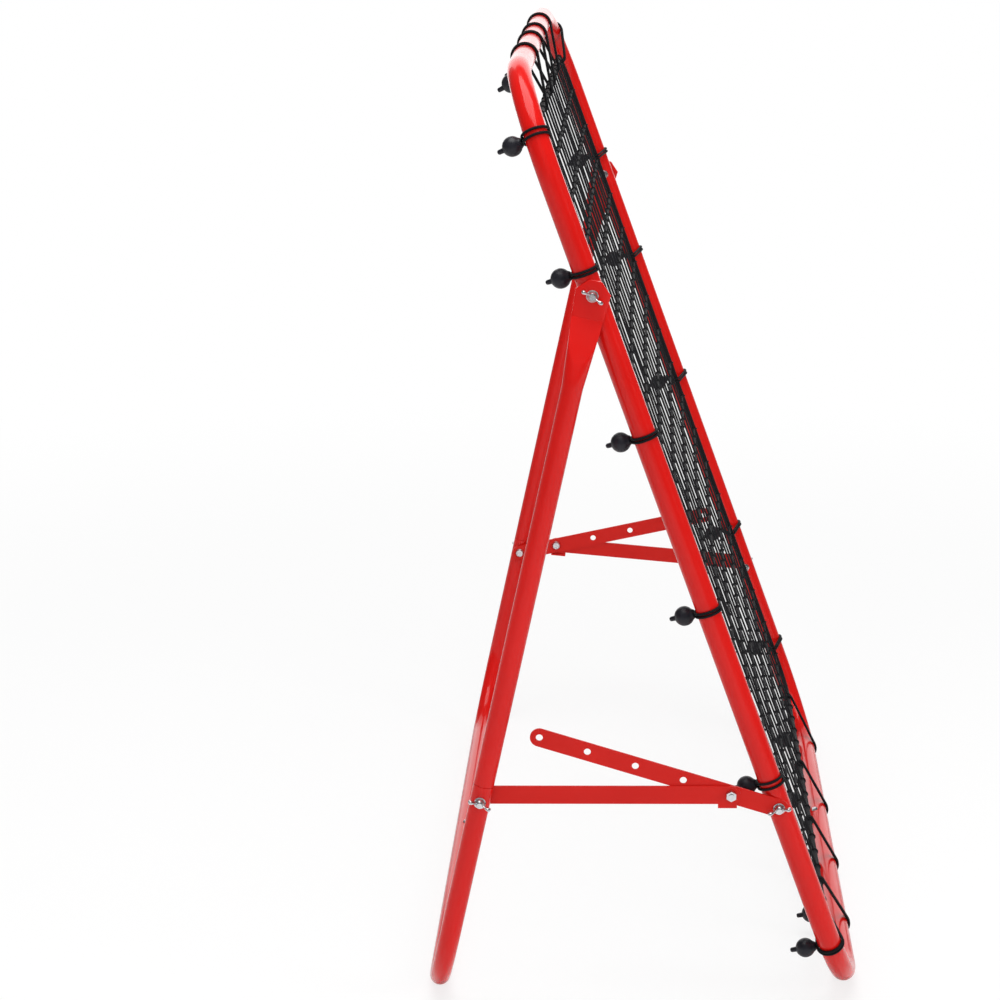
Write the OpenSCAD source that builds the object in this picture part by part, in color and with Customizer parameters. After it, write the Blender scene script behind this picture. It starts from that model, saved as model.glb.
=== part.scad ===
// Soccer rebounder: a leaning net frame on a folding rear support, held by an adjustable brace on each side.
// Width along X, playing face towards -Y, Z up from the floor, origin under the middle of the footprint.

/* [Front frame] */
// Width over the outer faces of the rear support
overall_w = 960; // [850:1:1100]
// Height of the frame along its stiles, rail axis to rail axis
frame_h = 1060; // [1000:1:1200]
// Outside diameter of the front tube
front_d = 25; // [22:0.5:28]
// Wall of the front tube
front_wall = 1.2; // [0.8:0.1:2]
// Radius of the corner bends, at the tube axis
front_bend = 110; // [95:1:125]
// Hinge bolt above the bottom rail axis, along the stile
hinge_height = 830; // [800:1:860]
// Stile seam below the hinge bolt
stile_seam_drop = 18; // [14:1:30]
// Rail seams right of the middle
rail_seam = 61; // [0:1:80]

/* [Rear support] */
// Hinge bolt to the axis of the rear rail, along the leg
leg_len = 797; // [780:1:830]
// Outside diameter of the rear tube
rear_d = 22; // [20:0.5:25]
// Wall of the rear tube
rear_wall = 1.2; // [0.8:0.1:2]
// Radius of the corner bends, at the tube axis
rear_bend = 100; // [80:1:120]
// Leg seam above the leg bolt
leg_seam_rise = 17; // [12:1:30]
// Width of the flattened leg end at the hinge bolt
plate_w = 37; // [34:1:38]
// Width of the flattened leg end where it starts to grow round
plate_waist = 32.5; // [28:0.5:33]
// Thickness of the flattened leg end
plate_t = 3; // [2:0.1:3.4]
// Flattened leg end above the hinge bolt
plate_top = 16; // [12:0.5:17]
// Flat zone of the leg end below the hinge bolt
plate_low = 24; // [18:1:30]
// Trim of the flattened corners
plate_trim = 12; // [10:0.5:12.5]
// Length over which the flat end grows into the round tube
flare_len = 70; // [50:1:90]

/* [Braces] */
// Pivot to brace bolt on the plain bar
plain_len = 265; // [255:1:275]
// Pitch of the adjusting holes, also pivot to first hole
hole_pitch = 53; // [50:0.5:55]
// Number of adjusting holes
hole_count = 5; // [3:1:5]
// Diameter of the adjusting holes
hole_d = 7.5; // [6.8:0.1:9]
// Width of the bars
bar_w = 20; // [18:0.5:22]
// Thickness of the bars
bar_t = 2; // [1.5:0.1:3]
// Angle between the two bars, set by the lip
brace_bend = 17.5; // [15:0.5:19]
// Stile bolt above the bottom rail axis, along the stile
stile_bolt_height = 245; // [235:1:255]
// Leg bolt below the hinge bolt, along the leg
leg_bolt_drop = 551; // [540:1:560]
// Lip behind the brace bolt, towards the pivot
lip_back = 14; // [8:0.5:18]
// Lip past the brace bolt, towards the free end
lip_front = 6; // [3:0.5:9]
// Thickness of the lip
lip_t = 2; // [1.5:0.1:3]

/* [Fasteners] */
// Bolt diameter
bolt_d = 6; // [5:0.5:6.5]
// Bolt head diameter
head_d = 12; // [10:0.5:13]
// Bolt head height
head_h = 3; // [2:0.1:4]
// Washer outside diameter
washer_d = 12.5; // [11:0.5:14]
// Washer thickness
washer_t = 1.2; // [0.8:0.1:1.6]
// Hex nut width across flats
nut_w = 10; // [9:0.5:11]
// Hex nut height
nut_h = 5; // [4:0.1:6]
// Wing nut hub diameter
hub_d = 10; // [9:0.5:11]
// Wing nut hub height
hub_h = 6; // [5:0.5:8]
// Wing nut span over its ears
wing_span = 25; // [22:0.5:28]
// Thickness of the wing nut ears
ear_t = 2.2; // [1.8:0.1:3]
// Diameter of the rail screws
screw_d = 4.2; // [3.5:0.1:4.8]
// Rail screw beside the rail seam
screw_offset = 22; // [12:1:30]

/* [Net] */
// Border cord axis inward of the stile axis
border_inset = 33; // [30:0.5:38]
// Border cord axis above the bottom rail axis
net_low = 70; // [60:1:80]
// Border cord axis below the top rail axis
net_high = 58; // [50:1:80]
// Diameter of the border cord
border_d = 6; // [5:0.5:9]
// Corner radius of the border cord, at its axis
border_corner = 40; // [36:1:48]
// Columns of mesh gaps
net_columns = 16; // [12:1:16]
// Rows of mesh gaps
net_rows = 18; // [12:1:18]
// Width of a mesh strand
strand_w = 3; // [2:0.1:4]
// Thickness of the net
net_t = 3; // [2:0.1:4]

/* [Ball bungees] */
// Diameter of the elastic cord
cord_d = 3; // [2.5:0.1:4]
// Gap between the two strands of a bungee
strand_gap = 0.6; // [0.6:0.1:1.5]
// Diameter of the ball
ball_d = 21; // [18:0.5:23]
// Diameter of the ball's neck
neck_d = 10; // [9:0.5:12]
// Length of the ball's neck
neck_len = 1; // [0.5:0.1:3]
// Diameter of the ball's nib
nib_d = 6; // [5:0.5:8]
// Length of the ball's nib
nib_len = 6; // [4:0.5:8]

/* [Hidden] */

// Side signs: left is -X, as the player facing the net sees it
LEFT = -1;
RIGHT = 1;

// Clearances
layer_gap = 0.3;
bar_gap = 0.2;
washer_gap = 0.2;
nut_gap = 0.1;
head_gap = 0.05;
pin_clearance = 0.075;
tube_bore_clearance = 0.2;
sleeve_fit = 0.1;
seam_gap = 0.2;
lip_clearance = 0.3;
cord_clearance = 0.1;
corner_clearance = 3.2;
net_seat = 0.15;
notch_clearance = 0.8;

// Depth of the flat that the floor presses into the cords under the bottom rail
cord_flat = 0.5;
// Length of a swaged tube end and of the shoulder behind it
neck_run = 48;
shoulder_run = 2;
// Bolt end showing past its nut
bolt_end = 2;
// Rail screw head and shank
screw_head_d = 8;
screw_head_h = 2.2;
screw_len = 9;
// Wing nut ears: thumb pad, its rise over the hub and the root's distance from the washer
pad_r = 3;
ear_rise = 1.5;
ear_root = 0.5;
// The straight runs of a cord reach a little into its round ones, by this much thinner
joint_lap = 0.5;
joint_step = 0.06;
// Spreads past a wall so that a cut goes through
cut = 1;
// Thickness of the end slices that a tapering solid grows between
slab = 0.1;

front_r = front_d / 2;
rear_r = rear_d / 2;
bolt_r = bolt_d / 2;
cord_r = cord_d / 2;
strand_pitch = cord_d + strand_gap;
border_r = border_d / 2;
ball_r = ball_d / 2;
pin_bore_r = bolt_r + pin_clearance;
tube_bore_r = bolt_r + tube_bore_clearance;

// Layers outward from a stile's axis: inner bar or flattened leg end, outer bar, leg tube
inner_x = front_r + layer_gap;
inner_out_x = inner_x + bar_t;
outer_x = inner_out_x + bar_gap;
outer_out_x = outer_x + bar_t;
leg_offset = outer_out_x + layer_gap + rear_r;
leg_out_x = leg_offset + rear_r;
plate_out_x = inner_x + plate_t;
leg_x = overall_w / 2 - rear_r;
stile_x = leg_x - leg_offset;

// The brace in its first hole sets the fold between stile and leg
stile_run = hinge_height - stile_bolt_height;
brace_reach = sqrt(pow(plain_len, 2) + pow(hole_pitch, 2) + 2 * plain_len * hole_pitch * cos(brace_bend));
fold = acos((pow(stile_run, 2) + pow(leg_bolt_drop, 2) - pow(brace_reach, 2))
    / (2 * stile_run * leg_bolt_drop));

// Both rails stand on the floor, the bottom rail on the cords round it, and that sets the lean
rail_reach = front_r + cord_clearance + cord_d;
rail_z = rail_reach - cord_flat;
foot_span = [leg_len * sin(fold), hinge_height - leg_len * cos(fold)];
lean = acos((rear_r - rail_z) / norm(foot_span)) - atan2(foot_span[0], foot_span[1]);
leg_tilt = fold - lean;

// Directions and pins in the Y-Z plane, with the footprint centred on the origin
stile_dir = [sin(lean), cos(lean)];
leg_dir = [sin(leg_tilt), -cos(leg_tilt)];
rear_rail_back = (hinge_height * stile_dir + leg_len * leg_dir)[0] + rear_r;
foot = [(rail_reach - rear_rail_back) / 2, rail_z];
hinge_pin = foot + hinge_height * stile_dir;
stile_pin = foot + stile_bolt_height * stile_dir;
leg_pin = hinge_pin + leg_bolt_drop * leg_dir;

// Slopes of the four bars
brace_line = leg_pin - stile_pin;
brace_slope = atan2(brace_line[1], brace_line[0]);
holed_angle = asin(plain_len * sin(brace_bend) / brace_reach);
plain_angle = asin(hole_pitch * sin(brace_bend) / brace_reach);
left_holed_rise = brace_slope + holed_angle;
left_plain_rise = plain_angle - brace_slope;
right_plain_rise = brace_slope + plain_angle;
right_holed_rise = holed_angle - brace_slope;
left_joint = stile_pin + hole_pitch * [cos(left_holed_rise), sin(left_holed_rise)];
right_joint = stile_pin + plain_len * [cos(right_plain_rise), sin(right_plain_rise)];
lip_drop = bar_w / 2 / cos(brace_bend) + lip_front * tan(brace_bend) + lip_clearance;
lip_reach = bar_gap + bar_t + 2 * bar_gap;

// Seam heights
stile_seam = hinge_height - stile_seam_drop;
leg_seam = leg_bolt_drop - leg_seam_rise;

// Border cord in the frame's plane
border_x = stile_x - border_inset;
border_top = frame_h - net_high;

// Bungee places, uneven as they were hung: heights on the stiles, turns round the bends with those of the
// lower bend below zero, and shares of the stile's X on the rails
left_places = [stile_bolt_height + 27, hinge_height - 357, hinge_height - 158, hinge_height + 24];
right_places = [
    front_bend + 18, stile_bolt_height + 61, hinge_height - 295, hinge_height - 113, hinge_height + 29
];
function side_places(side) = side == LEFT ? left_places : right_places;
function bend_turns(side) = side == LEFT ? [-21, 26] : [50];
bottom_places = stile_x * [-0.536, -0.148, 0.256, 0.758];
top_places = stile_x * [-0.463, -0.11, 0.143, 0.49];
// The balls on the rails sit some way along their strands toward the net
rail_slide = 18;
tube_loop_r = front_r + cord_clearance + cord_r;
bend_loop_r = front_r + layer_gap + cord_r;
border_loop_r = border_r + cord_clearance + cord_r;
corner_loop_r = border_r + corner_clearance + cord_r;

// From a bend's centre to the border cord's corner arc in a direction, and the bungee's reach that it leaves
function arc_range(offset, direction) =
    -offset * direction + sqrt(pow(offset * direction, 2) - offset * offset + pow(border_corner, 2));
function arc_offset(turn) = [
    stile_x - front_bend - border_x + border_corner,
    turn < 0 ? front_bend - net_low - border_corner : net_high + border_corner - front_bend
];
function border_range(turn) = arc_range(arc_offset(turn), [cos(turn), sin(turn)]);
function bend_height(turn) = turn < 0 ? front_bend : frame_h - front_bend;

// Placing

module on_frame() {
    translate([0, foot[0], foot[1]])
        rotate([-lean, 0, 0])
            children();
}

module on_leg() {
    translate([0, hinge_pin[0], hinge_pin[1]])
        rotate([leg_tilt, 0, 0])
            children();
}

module mirrored(side) {
    mirror([side < 0 ? 1 : 0, 0, 0])
        children();
}

// Origin on a stile's axis plane with +X outward, at a pin given in the Y-Z plane
module at_pin(side, pin) {
    mirrored(side)
        translate([stile_x, pin[0], pin[1]])
            children();
}

// A bar's own frame: along +Y from its pin, +Z its upper edge
module bar_pose(toward, rise) {
    rotate([toward * rise, 0, 0])
        mirror([0, toward < 0 ? 1 : 0, 0])
            children();
}

module x_rod(radius, from, to) {
    translate([from, 0, 0])
        rotate([0, 90, 0])
            cylinder(r = radius, h = to - from, $fn = 48);
}

// Tubes

module corner_rod(radius, half_w, bend, run, seam, extra) {
    translate([seam + seam_gap / 2 - extra, 0, 0])
        rotate([0, 90, 0])
            cylinder(r = radius, h = half_w - bend - seam - seam_gap / 2 + extra, $fn = 64);
    translate([half_w - bend, 0, bend])
        rotate([90, 0, 0])
            rotate([0, 0, -90])
                rotate_extrude(angle = 90, $fn = 64)
                    translate([bend, 0])
                        circle(r = radius, $fn = 64);
    translate([half_w, 0, bend])
        cylinder(r = radius, h = run - bend + extra, $fn = 64);
}

// One side of a U: rail along +X from the seam, upright along +Z
module corner_tube(radius, wall, half_w, bend, run, seam) {
    difference() {
        corner_rod(radius, half_w, bend, run, seam, 0);
        corner_rod(radius - wall, half_w, bend, run, seam, cut);
    }
}

// Reduced end that slides into the next tube, pointing along +Z from the seam
module swaged_end(radius, wall) {
    neck_r = radius - wall - sleeve_fit;
    difference() {
        union() {
            translate([0, 0, -shoulder_run])
                cylinder(r = radius - wall / 2, h = shoulder_run, $fn = 64);
            translate([0, 0, -shoulder_run])
                cylinder(r = neck_r, h = shoulder_run + neck_run, $fn = 64);
        }
        translate([0, 0, -shoulder_run - cut])
            cylinder(r = neck_r - wall, h = shoulder_run + neck_run + 2 * cut, $fn = 64);
    }
}

// The left tube's end in the right one at a rail seam
module rail_neck(radius, wall, seam) {
    translate([seam - seam_gap / 2, 0, 0])
        rotate([0, 90, 0])
            swaged_end(radius, wall);
}

module screw_bore(radius, seam) {
    translate([seam + screw_offset, 0, 0])
        cylinder(d = screw_d + tube_bore_clearance, h = radius + cut, $fn = 32);
}

module rail_screw(radius, seam) {
    translate([seam + screw_offset, 0, radius + head_gap - screw_len])
        cylinder(d = screw_d, h = screw_len + head_gap, $fn = 32);
    translate([seam + screw_offset, 0, radius + head_gap])
        cylinder(d1 = screw_head_d, d2 = screw_head_d * 0.7, h = screw_head_h, $fn = 48);
}

module front_tube_bottom(side) {
    color([0.8, 0.08, 0.08])
        on_frame()
            difference() {
                union() {
                    mirrored(side)
                        corner_tube(front_r, front_wall, stile_x, front_bend, stile_seam, side * rail_seam);
                    if (side == LEFT)
                        rail_neck(front_r, front_wall, rail_seam);
                }
                screw_bore(front_r, rail_seam);
                mirrored(side)
                    translate([stile_x, 0, stile_bolt_height])
                        x_rod(tube_bore_r, -front_r - cut, front_r + cut);
            }
}

// The same corner turned over, with the neck of the stile seam
module front_tube_top(side) {
    color([0.8, 0.08, 0.08])
        on_frame()
            translate([0, 0, frame_h])
                mirror([0, 0, 1])
                    difference() {
                        union() {
                            mirrored(side)
                                corner_tube(front_r, front_wall, stile_x, front_bend,
                                    frame_h - stile_seam - seam_gap, side * rail_seam);
                            mirrored(side)
                                translate([stile_x, 0, frame_h - stile_seam - seam_gap])
                                    swaged_end(front_r, front_wall);
                            if (side == LEFT)
                                rail_neck(front_r, front_wall, rail_seam);
                        }
                        screw_bore(front_r, rail_seam);
                        mirrored(side)
                            translate([stile_x, 0, frame_h - hinge_height])
                                x_rod(tube_bore_r, -front_r - cut, front_r + cut);
                    }
}

module front_joint_screws() {
    color("silver")
        on_frame() {
            rail_screw(front_r, rail_seam);
            translate([0, 0, frame_h])
                mirror([0, 0, 1])
                    rail_screw(front_r, rail_seam);
        }
}

module rear_corner(side) {
    color([0.8, 0.08, 0.08])
        on_leg()
            translate([0, 0, -leg_len])
                difference() {
                    union() {
                        mirrored(side)
                            corner_tube(rear_r, rear_wall, leg_x, rear_bend, leg_len - leg_seam - seam_gap, 0);
                        mirrored(side)
                            translate([leg_x, 0, leg_len - leg_seam - seam_gap])
                                swaged_end(rear_r, rear_wall);
                        if (side == LEFT)
                            rail_neck(rear_r, rear_wall, 0);
                    }
                    screw_bore(rear_r, 0);
                    mirrored(side)
                        translate([leg_x, 0, leg_len - leg_bolt_drop])
                            x_rod(tube_bore_r, -rear_r - cut, rear_r + cut);
                }
}

module rear_joint_screw() {
    color("silver")
        on_leg()
            translate([0, 0, -leg_len])
                rail_screw(rear_r, 0);
}

// Flattened leg end with trimmed corners, lying on the stile's outer face
module leg_plate() {
    translate([inner_x, 0, 0])
        rotate([90, 0, 90])
            linear_extrude(plate_t)
                polygon([
                    [-plate_waist / 2, -plate_low],
                    [plate_waist / 2, -plate_low],
                    [plate_w / 2, plate_top - plate_trim],
                    [plate_w / 2 - plate_trim, plate_top],
                    [plate_trim - plate_w / 2, plate_top],
                    [-plate_w / 2, plate_top - plate_trim]
                ]);
}

module leg_flare() {
    hull() {
        translate([leg_offset, 0, -plate_low - flare_len])
            cylinder(r = rear_r, h = slab, $fn = 32);
        translate([inner_x, -plate_waist / 2, -plate_low])
            cube([plate_t, plate_waist, slab]);
    }
}

module rear_leg(side) {
    color([0.8, 0.08, 0.08])
        on_leg()
            mirrored(side)
                translate([stile_x, 0, 0])
                    difference() {
                        union() {
                            difference() {
                                translate([leg_offset, 0, -leg_seam])
                                    cylinder(r = rear_r, h = leg_seam - plate_low - flare_len, $fn = 64);
                                translate([leg_offset, 0, -leg_seam - cut])
                                    cylinder(r = rear_r - rear_wall, h = leg_seam - plate_low - flare_len,
                                        $fn = 64);
                            }
                            leg_flare();
                            leg_plate();
                        }
                        x_rod(pin_bore_r, inner_x - cut, plate_out_x + cut);
                    }
}

// Braces

module bar_blank(length) {
    rotate([90, 0, 90])
        linear_extrude(bar_t)
            union() {
                translate([0, -bar_w / 2])
                    square([length, bar_w]);
                circle(d = bar_w, $fn = 64);
                translate([length, 0])
                    circle(d = bar_w, $fn = 64);
            }
}

// Bar with one bolt hole, and a lip bent inward under its free end that stops the other bar
module plain_bar_shape() {
    difference() {
        union() {
            bar_blank(plain_len);
            translate([0, plain_len - lip_back, -lip_drop - lip_t])
                cube([bar_t, lip_back + lip_front, lip_drop + lip_t]);
            translate([-lip_reach, plain_len - lip_back, -lip_drop - lip_t])
                cube([lip_reach + bar_t, lip_back + lip_front, lip_t]);
        }
        x_rod(pin_bore_r, -cut, bar_t + cut);
        translate([0, plain_len, 0])
            x_rod(pin_bore_r, -cut, bar_t + cut);
    }
}

module holed_bar_shape() {
    difference() {
        bar_blank(hole_count * hole_pitch);
        x_rod(pin_bore_r, -cut, bar_t + cut);
        for (hole = [1 : hole_count])
            translate([0, hole * hole_pitch, 0])
                x_rod(hole_d / 2, -cut, bar_t + cut);
    }
}

module plain_bar_left() {
    color([0.78, 0.12, 0.12])
        at_pin(LEFT, leg_pin)
            translate([outer_x, 0, 0])
                bar_pose(-1, left_plain_rise)
                    plain_bar_shape();
}

module holed_bar_left() {
    color([0.78, 0.12, 0.12])
        at_pin(LEFT, stile_pin)
            translate([inner_x, 0, 0])
                bar_pose(1, left_holed_rise)
                    holed_bar_shape();
}

// The far brace is the same pair turned end for end
module plain_bar_right() {
    color([0.78, 0.12, 0.12])
        at_pin(RIGHT, stile_pin)
            translate([outer_x, 0, 0])
                bar_pose(1, right_plain_rise)
                    plain_bar_shape();
}

module holed_bar_right() {
    color([0.78, 0.12, 0.12])
        at_pin(RIGHT, leg_pin)
            translate([inner_x, 0, 0])
                bar_pose(-1, right_holed_rise)
                    holed_bar_shape();
}

// Fasteners, along +X from the face under the head

module bolt(from, to) {
    x_rod(bolt_r, from - head_h / 2, to);
    translate([from - head_h, 0, 0])
        rotate([0, 90, 0])
            cylinder(d1 = head_d * 0.75, d2 = head_d, h = head_h, $fn = 48);
}

module washer(from, thickness) {
    difference() {
        x_rod(washer_d / 2, from, from + thickness);
        x_rod(tube_bore_r, from - cut, from + thickness + cut);
    }
}

module wing_nut(turn) {
    tip = [hub_h + ear_rise, wing_span / 2 - pad_r];
    rotate([turn, 0, 0])
        difference() {
            union() {
                x_rod(hub_d / 2, 0, hub_h);
                for (ear = [-1, 1])
                    rotate([ear * 90 + 90, 0, 0])
                        translate([0, 0, -ear_t / 2])
                            linear_extrude(ear_t)
                                union() {
                                    polygon([[ear_root, hub_d * 0.35], [hub_h, hub_d * 0.35],
                                        tip + pad_r * [0.93, -0.4], tip + pad_r * [-0.96, -0.27]]);
                                    translate(tip)
                                        circle(r = pad_r, $fn = 48);
                                }
            }
            x_rod(pin_bore_r, -cut, hub_h + cut);
        }
}

// Outer faces of the three clamped stacks on either side
hinge_stack = plate_out_x;
function stile_stack(side) = side == LEFT ? inner_out_x : outer_out_x;
function nut_base(stack) = stack + washer_gap + washer_t + nut_gap;
function bolt_tip(stack) = nut_base(stack) + hub_h + bolt_end;

module hinge_bolts() {
    color("silver")
        for (side = [LEFT, RIGHT])
            at_pin(side, hinge_pin)
                bolt(-front_r - head_gap, bolt_tip(hinge_stack));
}

module stile_bolts() {
    color("silver")
        for (side = [LEFT, RIGHT])
            at_pin(side, stile_pin)
                bolt(-front_r - head_gap, bolt_tip(stile_stack(side)));
}

module leg_bolts() {
    color("silver")
        for (side = [LEFT, RIGHT])
            at_pin(side, leg_pin)
                bolt((side == LEFT ? outer_x : inner_x) - washer_gap, bolt_tip(leg_out_x));
}

module front_washers() {
    color("silver") {
        for (side = [LEFT, RIGHT]) {
            at_pin(side, hinge_pin)
                washer(hinge_stack + washer_gap, washer_t);
            at_pin(side, stile_pin)
                washer(stile_stack(side) + washer_gap, washer_t);
        }
        at_pin(RIGHT, stile_pin)
            washer(front_r + head_gap, outer_x - bar_gap - front_r - head_gap);
    }
}

module rear_washers() {
    color("silver") {
        for (side = [LEFT, RIGHT])
            at_pin(side, leg_pin)
                washer(leg_out_x + washer_gap, washer_t);
        at_pin(RIGHT, leg_pin)
            washer(inner_out_x + bar_gap, leg_out_x - rear_d - inner_out_x - bar_gap - head_gap);
    }
}

// Head and shank in the first hole, ending at the face between the bars
module brace_bolt(side, pin) {
    color("silver")
        at_pin(side, pin)
            bolt(inner_x - nut_gap, outer_x - nut_gap);
}

// The bolt's threaded end with its nut, carried by the plain bar
module brace_nut(side, pin) {
    color("silver")
        at_pin(side, pin) {
            x_rod(bolt_r, outer_x, outer_out_x + nut_gap + nut_h + bolt_end / 2);
            translate([outer_out_x + nut_gap, 0, 0])
                rotate([0, 90, 0])
                    cylinder(d = nut_w / cos(30), h = nut_h, $fn = 6);
        }
}

// Wings from level, each at the angle that the hand left it
hinge_turn = 32;
stile_turn = -15;
leg_turn = 22;

module hinge_wing_nut(side) {
    color("silver")
        at_pin(side, hinge_pin)
            translate([nut_base(hinge_stack), 0, 0])
                wing_nut(hinge_turn);
}

module stile_wing_nut(side) {
    color("silver")
        at_pin(side, stile_pin)
            translate([nut_base(stile_stack(side)), 0, 0])
                wing_nut(stile_turn);
}

module leg_wing_nut(side) {
    color("silver")
        at_pin(side, leg_pin)
            translate([nut_base(leg_out_x), 0, 0])
                wing_nut(leg_turn);
}

// Net

module rounded_area(half_w, low, high, corner) {
    translate([-half_w, low + corner])
        square([2 * half_w, high - low - 2 * corner]);
    translate([corner - half_w, low])
        square([2 * half_w - 2 * corner, high - low]);
    for (x = [corner - half_w, half_w - corner])
        for (y = [low + corner, high - corner])
            translate([x, y])
                circle(r = corner, $fn = 64);
}

// Net area shrunk by an inset from the border cord's axis
module net_area(inset) {
    rounded_area(border_x - inset, net_low + inset, border_top - inset, border_corner - inset);
}

// Room for a bungee's loop round the border cord, at a place on it, cut inward along +X
module loop_notch(loop_r) {
    width = strand_pitch + cord_d + 2 * notch_clearance;
    translate([-border_r, -width / 2])
        square([border_r + loop_r + cord_r + notch_clearance, width]);
}

module notches() {
    for (side = [LEFT, RIGHT])
        mirror([side < 0 ? 1 : 0, 0]) {
            for (place = side_places(side))
                translate([border_x, place])
                    rotate(180)
                        loop_notch(border_loop_r);
            for (turn = bend_turns(side))
                translate([stile_x - front_bend, bend_height(turn)])
                    rotate(turn)
                        translate([border_range(turn), 0])
                            rotate(180)
                                loop_notch(corner_loop_r);
        }
    for (place = bottom_places)
        translate([place, net_low])
            rotate(90)
                loop_notch(border_loop_r);
    for (place = top_places)
        translate([place, border_top])
            rotate(-90)
                loop_notch(border_loop_r);
}

module mesh_gaps() {
    edge = border_r + net_seat + strand_w;
    pitch_x = (2 * (border_x - edge) + strand_w) / net_columns;
    pitch_y = (border_top - net_low - 2 * edge + strand_w) / net_rows;
    for (column = [0 : net_columns - 1])
        for (row = [0 : net_rows - 1])
            translate([edge - border_x + column * pitch_x, net_low + edge + row * pitch_y])
                square([pitch_x - strand_w, pitch_y - strand_w]);
}

module net() {
    color([0.08, 0.08, 0.09])
        on_frame()
            rotate([90, 0, 0])
                translate([0, 0, -net_t / 2])
                    linear_extrude(net_t)
                        difference() {
                            net_area(border_r + net_seat);
                            intersection() {
                                net_area(border_r + net_seat + strand_w);
                                mesh_gaps();
                            }
                            notches();
                        }
}

module border_corner_arc(x_sign, low) {
    translate([x_sign * (border_x - border_corner), 0, low ? net_low + border_corner : border_top - border_corner])
        rotate([90, 0, 0])
            rotate([0, 0, x_sign > 0 ? (low ? -90 : 0) : (low ? 180 : 90)])
                rotate_extrude(angle = 90, $fn = 64)
                    translate([border_corner, 0])
                        circle(r = border_r, $fn = 48);
}

module net_border() {
    color([0.08, 0.08, 0.09])
        on_frame() {
            for (x_sign = [-1, 1]) {
                border_corner_arc(x_sign, true);
                border_corner_arc(x_sign, false);
                translate([x_sign * border_x, 0, net_low + border_corner])
                    cylinder(r = border_r, h = border_top - net_low - 2 * border_corner, $fn = 48);
            }
            for (z = [net_low, border_top])
                translate([0, 0, z])
                    x_rod(border_r, border_corner - border_x, border_x - border_corner);
        }
}

// Ball bungees. Their own frame: tube axis along Z, +X outward, border cord at -X, +Y behind the frame

function strand_lean(reach, tube_loop, border_loop) = asin((tube_loop - border_loop) / reach);

module strand_loop(reach, tube_loop, border_loop) {
    slant = strand_lean(reach, tube_loop, border_loop);
    rotate([0, 0, -90 - slant])
        rotate_extrude(angle = 180 + 2 * slant, $fn = 48)
            translate([tube_loop, 0])
                circle(r = cord_r, $fn = 24);
    translate([-reach, 0, 0])
        rotate([0, 0, 90 + slant])
            rotate_extrude(angle = 180 - 2 * slant, $fn = 48)
                translate([border_loop, 0])
                    circle(r = cord_r, $fn = 24);
    for (face = [-1, 1])
        rotate([0, 0, face * slant])
            translate([joint_lap, face * tube_loop, 0])
                rotate([0, -90, 0])
                    cylinder(r = cord_r - joint_step, h = reach * cos(slant) + 2 * joint_lap, $fn = 24);
}

module bungee_loops(reach, tube_loop, border_loop) {
    for (strand = [-1, 1])
        translate([0, 0, strand * strand_pitch / 2])
            strand_loop(reach, tube_loop, border_loop);
}

// Ball behind the tube, its neck seated on the strands
module bungee_ball(reach, tube_loop, border_loop, slide) {
    rotate([0, 0, strand_lean(reach, tube_loop, border_loop)])
        translate([-slide, tube_loop + cord_r + cord_clearance, 0])
            rotate([-90, 0, 0]) {
                cylinder(d = neck_d, h = neck_len + ball_r, $fn = 48);
                translate([0, 0, neck_len + ball_r])
                    sphere(r = ball_r, $fn = 64);
                translate([0, 0, neck_len + ball_r])
                    cylinder(d = nib_d, h = ball_r + nib_len, $fn = 48);
            }
}

module at_side(side, place) {
    mirrored(side)
        translate([stile_x, 0, place])
            children();
}

module at_bend(side, turn) {
    mirrored(side)
        translate([stile_x - front_bend, 0, bend_height(turn)])
            rotate([0, -turn, 0])
                translate([front_bend, 0, 0])
                    children();
}

module at_bottom(place) {
    translate([place, 0, 0])
        rotate([0, 90, 0])
            children();
}

module at_top(place) {
    translate([place, 0, frame_h])
        rotate([0, -90, 0])
            children();
}

module bungee_cords_side(side) {
    color([0.06, 0.06, 0.07])
        on_frame() {
            for (place = side_places(side))
                at_side(side, place)
                    bungee_loops(border_inset, tube_loop_r, border_loop_r);
            for (turn = bend_turns(side))
                at_bend(side, turn)
                    bungee_loops(front_bend - border_range(turn), bend_loop_r, corner_loop_r);
        }
}

module bungee_balls_side(side) {
    color([0.07, 0.07, 0.1])
        on_frame() {
            for (place = side_places(side))
                at_side(side, place)
                    bungee_ball(border_inset, tube_loop_r, border_loop_r, 0);
            for (turn = bend_turns(side))
                at_bend(side, turn)
                    bungee_ball(front_bend - border_range(turn), bend_loop_r, corner_loop_r, 0);
        }
}

module bungee_cords_top() {
    color([0.06, 0.06, 0.07])
        on_frame()
            for (place = top_places)
                at_top(place)
                    bungee_loops(net_high, tube_loop_r, border_loop_r);
}

// Cut flat where the bottom rail stands on them
module bungee_cords_bottom() {
    color([0.06, 0.06, 0.07])
        difference() {
            on_frame()
                for (place = bottom_places)
                    at_bottom(place)
                        bungee_loops(net_low, tube_loop_r, border_loop_r);
            translate([-overall_w / 2, foot[0] - front_d, -front_d])
                cube([overall_w, 2 * front_d, front_d]);
        }
}

module bungee_balls_top() {
    color([0.07, 0.07, 0.1])
        on_frame()
            for (place = top_places)
                at_top(place)
                    bungee_ball(net_high, tube_loop_r, border_loop_r, rail_slide);
}

module bungee_balls_bottom() {
    color([0.07, 0.07, 0.1])
        on_frame()
            for (place = bottom_places)
                at_bottom(place)
                    bungee_ball(net_low, tube_loop_r, border_loop_r, rail_slide);
}

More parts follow.
